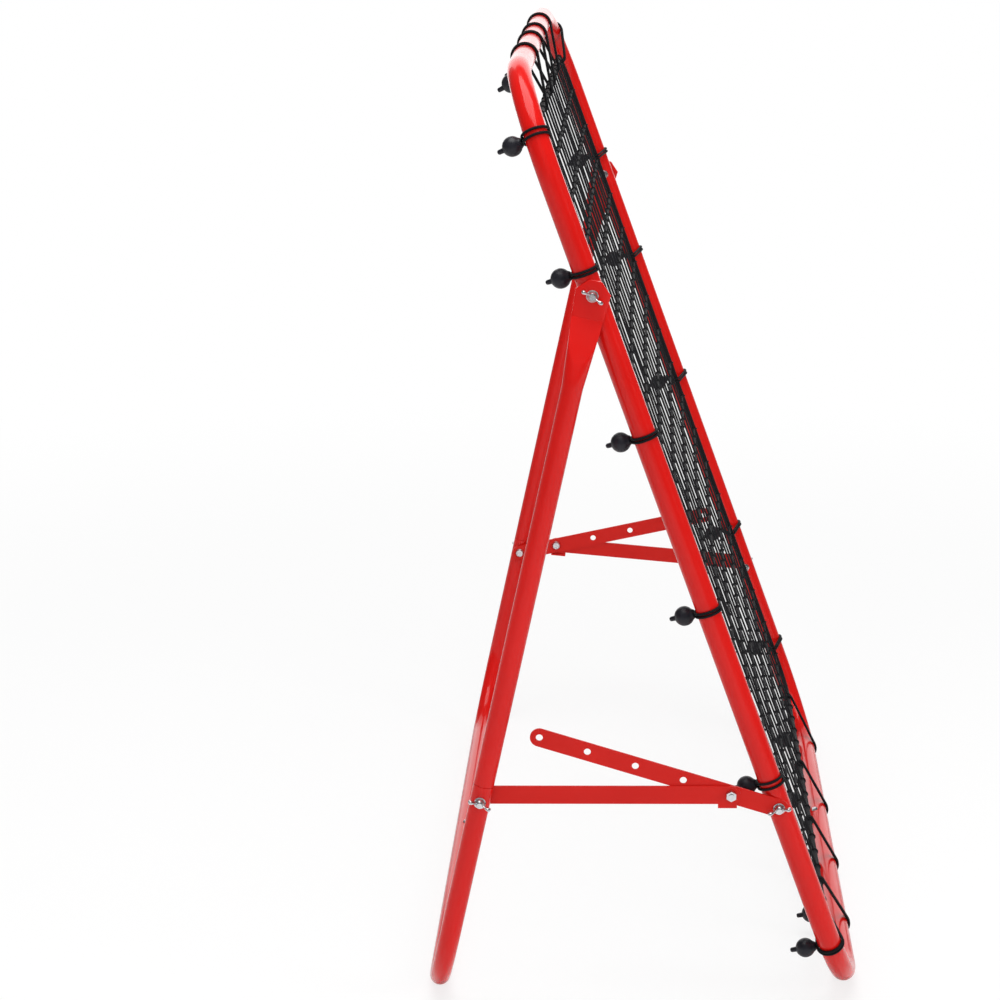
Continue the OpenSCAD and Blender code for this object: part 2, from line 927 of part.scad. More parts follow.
front_tube_top(LEFT);  // front_tube_top_left
front_tube_top(RIGHT);  // front_tube_top_right
front_tube_bottom(LEFT);  // front_tube_bottom_left
front_tube_bottom(RIGHT);  // front_tube_bottom_right
front_joint_screws();
rear_leg(LEFT);  // rear_leg_left
rear_leg(RIGHT);  // rear_leg_right
rear_corner(LEFT);  // rear_corner_left
rear_corner(RIGHT);  // rear_corner_right
rear_joint_screw();
plain_bar_left();
plain_bar_right();
holed_bar_left();
holed_bar_right();
hinge_bolts();
stile_bolts();
leg_bolts();
front_washers();
rear_washers();
brace_bolt(LEFT, left_joint);  // brace_bolt_left
brace_bolt(RIGHT, right_joint);  // brace_bolt_right
brace_nut(LEFT, left_joint);  // brace_nut_left
brace_nut(RIGHT, right_joint);  // brace_nut_right
hinge_wing_nut(LEFT);  // hinge_wing_nut_left
hinge_wing_nut(RIGHT);  // hinge_wing_nut_right
stile_wing_nut(LEFT);  // stile_wing_nut_left
stile_wing_nut(RIGHT);  // stile_wing_nut_right
leg_wing_nut(LEFT);  // leg_wing_nut_left
leg_wing_nut(RIGHT);  // leg_wing_nut_right
net();
net_border();
bungee_cords_side(LEFT);  // bungee_cords_left
bungee_cords_side(RIGHT);  // bungee_cords_right
bungee_cords_top();
bungee_cords_bottom();
bungee_balls_side(LEFT);  // bungee_balls_left
bungee_balls_side(RIGHT);  // bungee_balls_right
bungee_balls_top();
bungee_balls_bottom();
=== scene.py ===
"""Soccer rebounder: a leaning net frame on a folding rear support, dressed for a studio picture."""
import logging
from dataclasses import dataclass
from enum import Enum
from math import asin, atan2, copysign, cos, pi, radians, sin, sqrt
from typing import Callable

import bmesh
import bpy
from bmesh.types import BMEdge, BMesh, BMVert
from bpy.types import Material, Node, NodeSocket
from mathutils import Matrix, Vector, noise


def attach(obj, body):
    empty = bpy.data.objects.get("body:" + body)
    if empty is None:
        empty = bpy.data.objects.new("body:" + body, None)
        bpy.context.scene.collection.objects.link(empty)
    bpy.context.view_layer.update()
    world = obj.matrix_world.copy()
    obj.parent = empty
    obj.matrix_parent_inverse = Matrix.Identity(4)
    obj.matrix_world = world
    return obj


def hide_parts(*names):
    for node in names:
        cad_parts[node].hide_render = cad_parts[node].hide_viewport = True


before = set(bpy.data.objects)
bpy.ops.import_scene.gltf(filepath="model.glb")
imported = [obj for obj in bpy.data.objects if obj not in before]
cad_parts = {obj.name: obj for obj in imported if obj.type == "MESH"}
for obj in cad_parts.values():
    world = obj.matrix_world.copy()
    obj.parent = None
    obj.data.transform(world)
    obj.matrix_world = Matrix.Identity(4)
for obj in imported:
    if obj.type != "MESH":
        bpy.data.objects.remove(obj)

log = logging.getLogger("rebounder")

Triple = tuple[float, float, float]
Pair = tuple[float, float]

NOISE_SPAN = (0.3, 0.7)  # where nearly all values of Blender's noise lie
STILE_X = 0.4407  # from the middle to a stile's axis
HINGE = (0.0688791, 0.7919767)  # Y and Z of the hinge bolts
TURNED_STEPS = 28  # points round the axis of a turned shape
REARWARD = Vector((0, 1, 0))  # square to the front frame, in the leaning plane's coordinates


class Side(Enum):
    """Which side of the frame, as the player who faces the net sees it."""

    LEFT = -1
    RIGHT = 1

    @property
    def word(self) -> str:
        """The side's name in piece and node names."""
        return self.name.lower()

    @property
    def mirror(self) -> Matrix:
        """Keeps a shape on the right side, or mirrors it to the left."""
        return Matrix.Diagonal((self.value, 1, 1, 1))


class Edge(Enum):
    """A rail of the front frame."""

    TOP = "top"
    BOTTOM = "bottom"


# Finishes


class NodeBench:
    """A material's node tree with short calls that add, set and join nodes."""

    def __init__(self, name: str) -> None:
        """Start an empty material."""
        self.material = bpy.data.materials.new(name)
        self.material.use_nodes = True
        self.tree = self.material.node_tree
        self.tree.nodes.clear()
        self.shader = self.add("ShaderNodeBsdfPrincipled")
        self.out = self.add("ShaderNodeOutputMaterial")
        self.join(self.shader.outputs["BSDF"], self.out, "Surface")
        self.place = self.add("ShaderNodeTexCoord")

    def add(self, kind: str, **settings: object) -> Node:
        """Add a node.

        Args:
            kind: Blender's name of the node type.
            **settings: Properties of the node, or values of its inputs by name with _ for a space.

        Returns:
            The new node.
        """
        node = self.tree.nodes.new(kind)
        for key, value in settings.items():
            if hasattr(node, key):
                setattr(node, key, value)
            else:
                node.inputs[key.replace("_", " ")].default_value = value
        return node

    def join(self, source: NodeSocket, target: Node, entry: str | int) -> None:
        """Link a value to an input."""
        self.tree.links.new(source, target.inputs[entry])

    def reckon(self, operation: str, *terms: NodeSocket | float) -> NodeSocket:
        """Combine values or numbers.

        Args:
            operation: Blender's name of it.
            *terms: What it takes, in its own order.

        Returns:
            The result.
        """
        node = self.add("ShaderNodeMath", operation=operation)
        for entry, term in enumerate(terms):
            if isinstance(term, (int, float)):
                node.inputs[entry].default_value = term
            else:
                self.join(term, node, entry)
        return node.outputs["Value"]

    def grain(self, scale: float, detail: float) -> NodeSocket:
        """Noise on the piece's own coordinates, of scale cells per metre."""
        node = self.add("ShaderNodeTexNoise", Scale=scale, Detail=detail)
        self.join(self.place.outputs["Object"], node, "Vector")
        return node.outputs["Fac"]

    def yarn_map(self) -> tuple[NodeSocket, NodeSocket]:
        """The piece's own UV map: metres along a cord, and turns round it."""
        parts = self.add("ShaderNodeSeparateXYZ")
        self.join(self.place.outputs["UV"], parts, "Vector")
        return parts.outputs["X"], parts.outputs["Y"]

    def roughen(self, source: NodeSocket, smooth: float, rough: float) -> None:
        """Spread a noise over the roughness, from smooth to rough."""
        low, high = NOISE_SPAN
        node = self.add("ShaderNodeMapRange", From_Min=low, From_Max=high, To_Min=smooth, To_Max=rough)
        self.join(source, node, "Value")
        self.join(node.outputs["Result"], self.shader, "Roughness")

    def tint(self, source: NodeSocket, dark: Triple, light: Triple) -> None:
        """Blend the base colour between two colours by a value."""
        ramp = self.add("ShaderNodeValToRGB")
        for stop, position, colour in zip(ramp.color_ramp.elements, NOISE_SPAN, (dark, light)):
            stop.position, stop.color = position, (*colour, 1)
        self.join(source, ramp, "Fac")
        self.join(ramp.outputs["Color"], self.shader, "Base Color")

    def relief(self, source: NodeSocket, depth: float, strength: float) -> None:
        """Raise the surface by a value, up to depth in metres."""
        bump = self.add("ShaderNodeBump", Strength=strength, Distance=depth)
        self.join(source, bump, "Height")
        self.join(bump.outputs["Normal"], self.shader, "Normal")

    def set(self, **values: object) -> None:
        """Set values on the shader's own sockets, with _ for a space."""
        for key, value in values.items():
            self.shader.inputs[key.replace("_", " ")].default_value = value


@dataclass(frozen=True)
class Finish:
    """A material between two shades, painted by its own nodes."""

    name: str
    dark: Triple
    light: Triple

    def paint(self, bench: NodeBench) -> None:
        """Add the finish's nodes."""

    def material(self) -> Material:
        """Build the material."""
        bench = NodeBench(self.name)
        self.paint(bench)
        return bench.material


@dataclass(frozen=True)
class PowderCoat(Finish):
    """Baked coloured powder on tube or bar: fine orange peel under a gloss."""

    smooth: float
    rough: float
    coat: float
    shine: float = 0.14
    peel: float = 0.00004

    def paint(self, bench: NodeBench) -> None:
        """Add the coat's nodes."""
        bench.tint(bench.grain(scale=9, detail=3), self.dark, self.light)
        bench.roughen(bench.grain(scale=55, detail=2), self.smooth, self.rough)
        bench.relief(bench.grain(scale=620, detail=1), self.peel, strength=0.5)
        bench.set(Coat_Weight=self.coat, Coat_Roughness=0.08, Specular_IOR_Level=self.shine)


@dataclass(frozen=True)
class ZincPlate(Finish):
    """Bright zinc on small steel fasteners, a little cloudy."""

    name: str = "zinc_plate"
    dark: Triple = (0.52, 0.53, 0.56)
    light: Triple = (0.78, 0.79, 0.80)
    skin: float = 0.00003

    def paint(self, bench: NodeBench) -> None:
        """Add the plating's nodes."""
        cloud = bench.grain(scale=140, detail=4)
        bench.tint(cloud, self.dark, self.light)
        bench.roughen(cloud, smooth=0.22, rough=0.38)
        bench.relief(bench.grain(scale=1900, detail=2), self.skin, strength=0.4)
        bench.set(Metallic=1.0)


@dataclass(frozen=True)
class TwistedTwine(Finish):
    """Black polyethylene twine of laid yarns, each making a full turn in one lay, with painted shade in
    the grooves between the yarns.
    """

    name: str = "net_twine"
    # dark is the painted shade in the grooves between the yarns, light the colour on their crowns.
    dark: Triple = (0.008, 0.008, 0.009)
    light: Triple = (0.015, 0.015, 0.017)
    lay: float = 0.006
    yarns: int = 3
    depth: float = 0.0003

    def paint(self, bench: NodeBench) -> None:
        """Add the twine's nodes."""
        along, turns = bench.yarn_map()
        turn = bench.reckon("ADD", bench.reckon("MULTIPLY", along, 1 / self.lay), turns)
        wave = bench.reckon("SINE", bench.reckon("MULTIPLY", turn, self.yarns * pi))
        height = bench.reckon("ABSOLUTE", wave)
        # Painted shade: the base colour is darker in the grooves between the yarns and lighter on their
        # crowns.
        bench.tint(height, self.dark, self.light)
        bench.relief(height, self.depth, strength=0.8)
        bench.set(Roughness=0.65, Specular_IOR_Level=0.12)


@dataclass(frozen=True)
class BraidedJacket(Finish):
    """Woven cord jacket: yarns that cross once a pick, and carriers times round the cord, with painted
    shade in the hollows of the weave.
    """

    pick: float
    depth: float
    carriers: int = 8

    def paint(self, bench: NodeBench) -> None:
        """Add the jacket's nodes."""
        along, turns = bench.yarn_map()
        along = bench.reckon("MULTIPLY", along, pi / self.pick)
        turns = bench.reckon("MULTIPLY", turns, self.carriers * pi)
        leans = [bench.reckon(operation, along, turns) for operation in ("ADD", "SUBTRACT")]
        weave = bench.reckon("MULTIPLY", *(bench.reckon("SINE", lean) for lean in leans))
        height = bench.reckon("ABSOLUTE", weave)
        # Painted shade: the base colour is darker in the hollows of the weave and lighter on the raised
        # yarns.
        bench.tint(height, self.dark, self.light)
        bench.relief(height, self.depth, strength=0.9)
        bench.set(Roughness=0.6, Specular_IOR_Level=0.12)


@dataclass(frozen=True)
class MouldedPlastic(Finish):
    """Black injection-moulded plastic with a satin skin."""

    name: str = "black_plastic"
    dark: Triple = (0.010, 0.010, 0.014)
    light: Triple = (0.018, 0.018, 0.024)
    skin: float = 0.00003

    def paint(self, bench: NodeBench) -> None:
        """Add the plastic's nodes."""
        cloud = bench.grain(scale=120, detail=3)
        bench.tint(cloud, self.dark, self.light)
        bench.roughen(cloud, smooth=0.3, rough=0.44)
        bench.relief(bench.grain(scale=1500, detail=2), self.skin, strength=0.4)
        bench.set(Specular_IOR_Level=0.25)


@dataclass(frozen=True)
class StudioFloor(Finish):
    """White paper floor that keeps the object's soft shadow and is plain white from far on."""

    name: str = "studio_floor"
    dark: Triple = (0.8712, 0.8712, 0.8712)
    light: Triple = (0.88, 0.88, 0.88)
    near_glow: float = 0.78
    near: float = 0.5
    far: float = 2.6

    def paint(self, bench: NodeBench) -> None:
        """Add the paper's nodes."""
        bench.tint(bench.grain(scale=3, detail=2), self.dark, self.light)
        bench.set(Roughness=0.9, Specular_IOR_Level=0.1)
        away = bench.add("ShaderNodeVectorMath", operation="LENGTH")
        bench.join(bench.place.outputs["Object"], away, 0)
        share = bench.add(
            "ShaderNodeMapRange",
            interpolation_type="SMOOTHSTEP",
            From_Min=self.near,
            From_Max=self.far,
            To_Min=self.near_glow,
            To_Max=1.0,
        )
        bench.join(away.outputs["Value"], share, "Value")
        rays = bench.add("ShaderNodeLightPath")
        seen = bench.reckon("MULTIPLY", rays.outputs["Is Camera Ray"], share.outputs["Result"])
        glow = bench.add("ShaderNodeEmission", Strength=1.0)
        mix = bench.add("ShaderNodeMixShader")
        bench.join(seen, mix, "Fac")
        bench.join(bench.shader.outputs["BSDF"], mix, 1)
        bench.join(glow.outputs["Emission"], mix, 2)
        bench.join(mix.outputs["Shader"], bench.out, "Surface")


# Shaping


class Loft:
    """A skin over a row of rings that all have the same number of points."""

    @staticmethod
    def build(rings: list[list[Vector]], closed: bool = False) -> BMesh:
        """Skin the rings in order.

        Args:
            rings: The rings' points.
            closed: Whether the last ring joins the first; otherwise both ends are capped.

        Returns:
            A bmesh with a UV map: metres along the row in U, turns in V.
        """
        sides = len(rings[0])
        bm = bmesh.new()
        uv = bm.loops.layers.uv.new("UVMap")
        turn = bm.verts.layers.int.new("turn")
        way = bm.verts.layers.float.new("way")
        ring = bmesh.ops.create_circle(bm, segments=sides, radius=1.0)["verts"]
        ring.sort(key=lambda vert: atan2(vert.co.y, vert.co.x) % (2 * pi))
        for place, vert in enumerate(ring):
            vert[turn] = place
        edges = first = list(bm.edges)
        middle, travelled = sum(rings[0], Vector()) / sides, 0.0
        for step, points in enumerate(rings):
            if step:
                made = bmesh.ops.extrude_edge_only(bm, edges=edges)["geom"]
                ring = [g for g in made if isinstance(g, BMVert)]
                fresh = set(ring)
                edges = [g for g in made if isinstance(g, BMEdge) and fresh.issuperset(g.verts)]
                centre = sum(points, Vector()) / sides
                travelled += (centre - middle).length
                middle = centre
            for vert in ring:
                vert.co = points[vert[turn]]
                vert[way] = travelled
        if closed:
            bmesh.ops.bridge_loops(bm, edges=first + edges)
        else:
            bmesh.ops.contextual_create(bm, geom=first)
            bmesh.ops.contextual_create(bm, geom=edges)
        total = travelled + (middle - sum(rings[0], Vector()) / sides).length
        for face in bm.faces:
            wraps = len(face.verts) == 4 and {0, sides - 1} <= {vert[turn] for vert in face.verts}
            seam = closed and max(vert[way] for vert in face.verts) > total / 2
            for loop in face.loops:
                t, w = loop.vert[turn], loop.vert[way]
                loop[uv].uv = (total if seam and w == 0 else w, (sides if wraps and t == 0 else t) / sides)
        return bm


@dataclass
class Sweep:
    """One rounded outline carried along a line, ring by ring.

    Attributes:
        sides: Points in a ring.
        power: How square the outline is: 2 is an ellipse.
    """

    sides: int = 10
    power: float = 2.0

    def outline(self, share: float, halves: Pair) -> Pair:
        """The outline's point at a share of a turn."""
        angle = 2 * pi * share
        c, s = cos(angle), sin(angle)
        bend = 2 / self.power
        return (
            halves[0] * copysign(abs(c) ** bend, c),
            halves[1] * copysign(abs(s) ** bend, s),
        )

    def build(
        self,
        line: list[Vector],
        halves: Callable[[int], Pair],
        across: Vector,
        closed: bool = False,
    ) -> BMesh:
        """Carry the outline along the line.

        Args:
            line: The points of the centre line.
            halves: The outline's two half sizes at a point: square to across, and along across.
            across: A direction that the line never runs along; it keeps the rings from twisting.
            closed: Whether the last ring joins the first.

        Returns:
            The swept shape.
        """
        rings = []
        count = len(line)
        for step, point in enumerate(line):
            before = line[(step - 1) % count] if closed or step else line[0]
            after = line[(step + 1) % count] if closed or step < count - 1 else line[-1]
            ahead = (after - before).normalized()
            aside = across.cross(ahead).normalized()
            up = ahead.cross(aside)
            size = halves(step)
            places = (self.outline(k / self.sides, size) for k in range(self.sides))
            rings.append([point + aside * a + up * b for a, b in places])
        return Loft.build(rings, closed)

    def rope(
        self, line: list[Vector], radius: float, across: Vector, closed: bool = False
    ) -> BMesh:
        """Carry a round outline of one radius along the line; see build."""
        return self.build(line, lambda _: (radius, radius), across, closed)

    @staticmethod
    def filled(points: list[Vector], pitch: float) -> list[Vector]:
        """A closed line with more points put between its own, about a pitch apart."""
        line: list[Vector] = []
        for here, there in zip(points, points[1:] + points[:1]):
            parts = max(1, round((there - here).length / pitch))
            line += [here.lerp(there, k / parts) for k in range(parts)]
        return line


class Workshop:
    """Turns a bmesh into a finished piece of the scene."""

    @staticmethod
    def merge(parts: list[BMesh]) -> BMesh:
        """Put several bmeshes into the first one.

        Args:
            parts: The bmeshes; all but the first are freed.

        Returns:
            The first bmesh, with everything in it.
        """
        whole = parts[0]
        for part in parts[1:]:
            held = bpy.data.meshes.new("held")
            part.to_mesh(held)
            part.free()
            whole.from_mesh(held)
            bpy.data.meshes.remove(held)
        return whole

    @staticmethod
    def piece(
        name: str,
        bm: BMesh,
        material: Material,
        body: str,
        slot: str,
        stands_for: tuple[str, ...] = (),
        sharp: float = 40.0,
    ) -> None:
        """Make the object, dress it and let it ride.

        Args:
            name: The piece's name.
            bm: Its shape, in place; it is freed.
            material: Its finish.
            body: The CAD body that it moves with.
            slot: The record's material slot; not used.
            stands_for: CAD nodes that it replaces.
            sharp: Edges that turn by more than this many degrees stay sharp.
        """
        bmesh.ops.recalc_face_normals(bm, faces=bm.faces)
        limit = radians(sharp)
        for face in bm.faces:
            face.smooth = True
        for edge in bm.edges:
            edge.smooth = edge.calc_face_angle(0.0) < limit
        mesh = bpy.data.meshes.new(name)
        bm.to_mesh(mesh)
        bm.free()
        mesh.materials.append(material)
        thing = bpy.data.objects.new(name, mesh)
        bpy.context.scene.collection.objects.link(thing)
        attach(thing, body)
        if stands_for:
            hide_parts(*stands_for)
        log.info("%s: %d faces on %s", name, len(mesh.polygons), body)

    @staticmethod
    def dress(node: str, material: Material) -> None:
        """Give a CAD node its finish."""
        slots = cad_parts[node].data.materials
        slots.clear()
        slots.append(material)
        log.info("%s: dressed with %s", node, material.name)

    @staticmethod
    def turned(profile: list[Pair]) -> BMesh:
        """Spin a profile round the Z axis.

        Args:
            profile: (radius, height) points, closed on itself or ending on the axis.

        Returns:
            The turned shape.
        """
        bm = bmesh.new()
        bm.loops.layers.uv.new("UVMap")
        verts = [bm.verts.new((r, 0, z)) for r, z in profile]
        edges = [bm.edges.new(pair) for pair in zip(verts, verts[1:])]
        if profile[0][0] > 0 and profile[-1][0] > 0:
            edges.append(bm.edges.new((verts[-1], verts[0])))
        bmesh.ops.spin(
            bm, geom=verts + edges, axis=(0, 0, 1), angle=2 * pi, steps=TURNED_STEPS, use_merge=True
        )
        bmesh.ops.remove_doubles(bm, verts=bm.verts, dist=1e-7)
        bmesh.ops.recalc_face_normals(bm, faces=bm.faces)
        return bm


# Net and cords


@dataclass(frozen=True)
class LeaningPlane:
    """The front frame's plane: X across, Y to its rear, Z up the stiles from the foot."""

    foot: Pair = (-0.2232897, 0.0151)
    degrees: float = 20.610337
    height: float = 1.060
    stile_x: float = STILE_X
    bend: float = 0.110

    @property
    def matrix(self) -> Matrix:
        """From the plane's own coordinates to the scene."""
        lean = Matrix.Rotation(-radians(self.degrees), 4, "X")
        return Matrix.Translation((0, *self.foot)) @ lean

    def hang(
        self,
        name: str,
        parts: list[BMesh],
        finish: Material,
        slot: str,
        *stands_for: str,
        sharp: float = 40.0,
    ) -> None:
        """Make one piece of shapes in the plane's coordinates; see Workshop.piece."""
        whole = Workshop.merge(parts)
        whole.transform(self.matrix)
        Workshop.piece(name, whole, finish, "front_frame", slot, stands_for, sharp)


@dataclass(frozen=True)
class BorderCord:
    """The braided cord round the net: a taut rectangle with rounded corners."""

    plane: LeaningPlane
    half_w: float = 0.4077
    low: float = 0.070
    high: float = 1.002
    corner: float = 0.040
    radius: float = 0.003
    pitch: float = 0.016
    steps: int = 8
    sides: int = 16

    def line(self) -> list[Vector]:
        """Its centre line, anticlockwise from the bottom edge, in the plane's coordinates."""
        points: list[Vector] = []
        corners = [(1, self.low, -90), (1, self.high, 0), (-1, self.high, 90), (-1, self.low, 180)]
        for sign, edge, start in corners:
            x = sign * (self.half_w - self.corner)
            z = edge + self.corner if edge == self.low else edge - self.corner
            for step in range(self.steps + 1):
                a = radians(start + 90 * step / self.steps)
                points.append(Vector((x + self.corner * cos(a), 0, z + self.corner * sin(a))))
        return Sweep.filled(points, self.pitch)

    def inward(self, over: float) -> float:
        """How far a corner's arc has come in from the edge, over metres past its start."""
        return self.corner - sqrt(max(0.0, self.corner**2 - over**2)) if over > 0 else 0.0

    def reach(self, x: float) -> Pair:
        """The lowest and highest points of the centre line at x."""
        rise = self.inward(abs(x) - (self.half_w - self.corner))
        return self.low + rise, self.high - rise

    def span(self, z: float) -> float:
        """The centre line's distance from the middle at height z."""
        over = max(self.low + self.corner - z, z - (self.high - self.corner))
        return self.half_w - self.inward(over)

    def build(self, finish: Material) -> None:
        """Make and dress the cord."""
        bm = Sweep(self.sides).rope(self.line(), self.radius, REARWARD, closed=True)
        self.plane.hang("border_cord", [bm], finish, "border_cord", "net_border")


@dataclass(frozen=True)
class MeshNet:
    """The square-mesh net: knotted twine tied on to the border cord.

    Attributes:
        bow: How far an upright and a level twine bow between two knots, in X and Z.
        drift_walk: The noise's step for a column and a row, and its Z, for a knot's place.
        seed: Holds the noise's offset, which follows the clock if it isn't set.
    """

    border: BorderCord
    columns: int = 18
    rows: int = 19
    twine: float = 0.0014
    knot: float = 0.0030
    knot_shape: Triple = (1.25, 0.95, 0.85)
    knot_turn: Pair = (45.0, 20.0)
    drift: float = 0.0022
    waver: float = 0.001
    billow: float = 0.003
    bow: Pair = (0.0006, -0.0009)
    drift_walk: Triple = (0.83, 0.61, 3.7)
    turn_walk: Triple = (1.3, 1.7, 0.0)
    seed: int = 7
    cell_steps: int = 3
    sides: int = 6
    tie: float = 0.0009
    tie_gap: float = 0.8
    tie_slant: float = 0.0012
    tie_steps: int = 12

    def knot_place(self, column: int, row: int) -> Vector:
        """Where two twines cross, with the small shifts of a hand-tied net."""
        b = self.border
        x = -b.half_w + 2 * b.half_w * column / self.columns
        z = b.low + (b.high - b.low) * row / self.rows
        if column in (0, self.columns):
            return Vector((copysign(b.span(z), x), 0, z))
        if row in (0, self.rows):
            low, high = b.reach(x)
            return Vector((x, 0, low if row == 0 else high))
        wide, tall, deep = self.drift_walk
        shift = noise.noise_vector(Vector((column * wide, row * tall, deep)))
        slack = sin(pi * column / self.columns) * sin(pi * row / self.rows)
        y = self.billow * slack + shift.y * self.waver
        return Vector((x + shift.x * self.drift, y, z + shift.z * self.drift))

    def knot_stand(self, column: int, row: int) -> Matrix:
        """A knot's place, turn and shape."""
        wide, tall, deep = self.turn_walk
        turn, stray = self.knot_turn
        degrees = turn + stray * noise.noise(Vector((column * wide, row * tall, deep)))
        return (
            Matrix.Translation(self.knot_place(column, row))
            @ Matrix.Rotation(radians(degrees), 4, "Y")
            @ Matrix.Diagonal((*self.knot_shape, 1))
        )

    def strand(self, stops: list[Vector], sag: Vector) -> list[Vector]:
        """A twine through its knots, bowed a little between them.

        Args:
            stops: The knots' places.
            sag: How far it bows midway between two knots.

        Returns:
            The points of its centre line.
        """
        line = []
        for here, there in zip(stops, stops[1:]):
            for k in range(self.cell_steps):
                t = k / self.cell_steps
                line.append(here.lerp(there, t) + sag * (4 * t * (1 - t)))
        return line + [stops[-1]]

    def build(self, finish: Material) -> None:
        """Make and dress the net and its lashings."""
        noise.seed_set(self.seed)
        aside, down = Vector((self.bow[0], 0, 0)), Vector((0, 0, self.bow[1]))
        lines = []
        for column in range(1, self.columns):
            stops = [self.knot_place(column, row) for row in range(self.rows + 1)]
            lines.append(self.strand(stops, aside))
        for row in range(1, self.rows):
            stops = [self.knot_place(column, row) for column in range(self.columns + 1)]
            lines.append(self.strand(stops, down))
        shape = Sweep(self.sides)
        whole = Workshop.merge([shape.rope(line, self.twine, REARWARD) for line in lines])
        for column in range(1, self.columns):
            for row in range(1, self.rows):
                place, radius = self.knot_stand(column, row), self.knot
                bmesh.ops.create_uvsphere(
                    whole, u_segments=8, v_segments=5, radius=radius, matrix=place
                )
        self.border.plane.hang("mesh_net", [whole], finish, "net_twine", "net", sharp=75)
        self.lashings(finish)

    def lashings(self, finish: Material) -> None:
        """Make the turns of twine that tie each mesh to the border cord."""
        shape = Sweep(self.sides)
        radius = self.border.radius + self.tie * self.tie_gap
        ties: list[tuple[Vector, Vector]] = []
        for column in range(1, self.columns):
            for row, inward in ((0, 1), (self.rows, -1)):
                ties.append((self.knot_place(column, row), Vector((0, 0, inward))))
        for row in range(1, self.rows):
            for column, inward in ((0, 1), (self.columns, -1)):
                ties.append((self.knot_place(column, row), Vector((inward, 0, 0))))
        parts = []
        for place, inward in ties:
            along = inward.cross(REARWARD)
            line = [
                place
                + (inward * cos(a) + REARWARD * sin(a)) * radius
                + along * (self.tie_slant * sin(a / 2))
                for a in (2 * pi * k / self.tie_steps for k in range(self.tie_steps))
            ]
            parts.append(shape.rope(line, self.tie, along, closed=True))
        self.border.plane.hang("net_lashings", parts, finish, "net_twine", sharp=75)


@dataclass(frozen=True)
class BallBungee:
    """One ball bungee: a doubled elastic cord round the tube and the border cord, ending in a ball.

    Its own frame has the tube's axis along Z, the outside of the frame at +X, the border cord at -X and
    the ball behind the tube at +Y.

    Attributes:
        slide: How far the ball has slid along the strands towards the net.
        drift: How far the turn round the border cord lies along Z.
    """

    place: Matrix
    reach: float
    tube_loop: float
    border_loop: float
    slide: float = 0.0
    drift: float = 0.0
    spread: float = 0.0018
    spread_at_net: float = 0.0018
    cord: float = 0.0015
    pitch: float = 0.007
    tube_steps: int = 18
    border_steps: int = 10
    ball: float = 0.0105
    ball_gap: float = 0.0001
    ball_steps: int = 14
    neck: float = 0.0064
    neck_len: float = 0.001
    neck_profile: tuple[Pair, ...] = ((0.62, 0.0), (0.74, 0.14), (0.82, 0.5))
    nib: float = 0.0028
    nib_len: float = 0.006
    nib_profile: Pair = (0.9, 0.6)
    nib_round: float = 0.0012

    @property
    def slant(self) -> float:
        """How far the straight runs lean to one another."""
        return asin((self.tube_loop - self.border_loop) / self.reach)

    @staticmethod
    def arc(x: float, radius: float, start: float, end: float, steps: int) -> list[Vector]:
        """Points of an arc round a place on the X axis, from one angle to another."""
        angles = (start + (end - start) * k / steps for k in range(steps + 1))
        return [Vector((x + radius * cos(a), radius * sin(a), 0)) for a in angles]

    def line(self, strand: int) -> list[Vector]:
        """The closed centre line of one strand.

        Args:
            strand: -1 or 1.

        Returns:
            Its points, in the bungee's own frame.
        """
        over = pi / 2 + self.slant
        flat = self.arc(0, self.tube_loop, -over, over, self.tube_steps)
        flat += self.arc(-self.reach, self.border_loop, over, 2 * pi - over, self.border_steps)
        line = Sweep.filled(flat, self.pitch)
        for point in line:
            share = min(1.0, max(0.0, -point.x / self.reach))
            apart = self.spread * (1 - share) + self.spread_at_net * share
            point.z = strand * apart + self.drift * share
        return line

    def strands(self) -> BMesh:
        """Both strands, in the leaning plane's coordinates."""
        lines = [self.line(strand) for strand in (-1, 1)]
        axis = Vector((0, 0, 1))
        whole = Workshop.merge([Sweep().rope(line, self.cord, axis, closed=True) for line in lines])
        whole.transform(self.place)
        return whole

    def knob(self) -> BMesh:
        """The ball with its neck towards the tube and its nib behind, in the plane's coordinates."""
        centre = self.neck_len + self.ball
        start = asin(self.neck / self.ball)
        end = pi - asin(self.nib / self.ball)
        foot = centre - self.ball * cos(start)
        profile = [(0.0, 0.0)]
        profile += [(self.neck * wide, foot * high) for wide, high in self.neck_profile]
        for k in range(self.ball_steps + 1):
            a = start + (end - start) * k / self.ball_steps
            profile.append((self.ball * sin(a), centre - self.ball * cos(a)))
        top = centre + self.ball + self.nib_len
        edge, tip = self.nib_profile
        profile += [(self.nib * edge, top - self.nib_round), (self.nib * tip, top), (0.0, top)]
        bm = Workshop.turned(profile)
        bm.transform(
            self.place
            @ Matrix.Rotation(self.slant, 4, "Z")
            @ Matrix.Translation((-self.slide, self.tube_loop + self.cord + self.ball_gap, 0))
            @ Matrix.Rotation(-pi / 2, 4, "X")
        )
        return bm


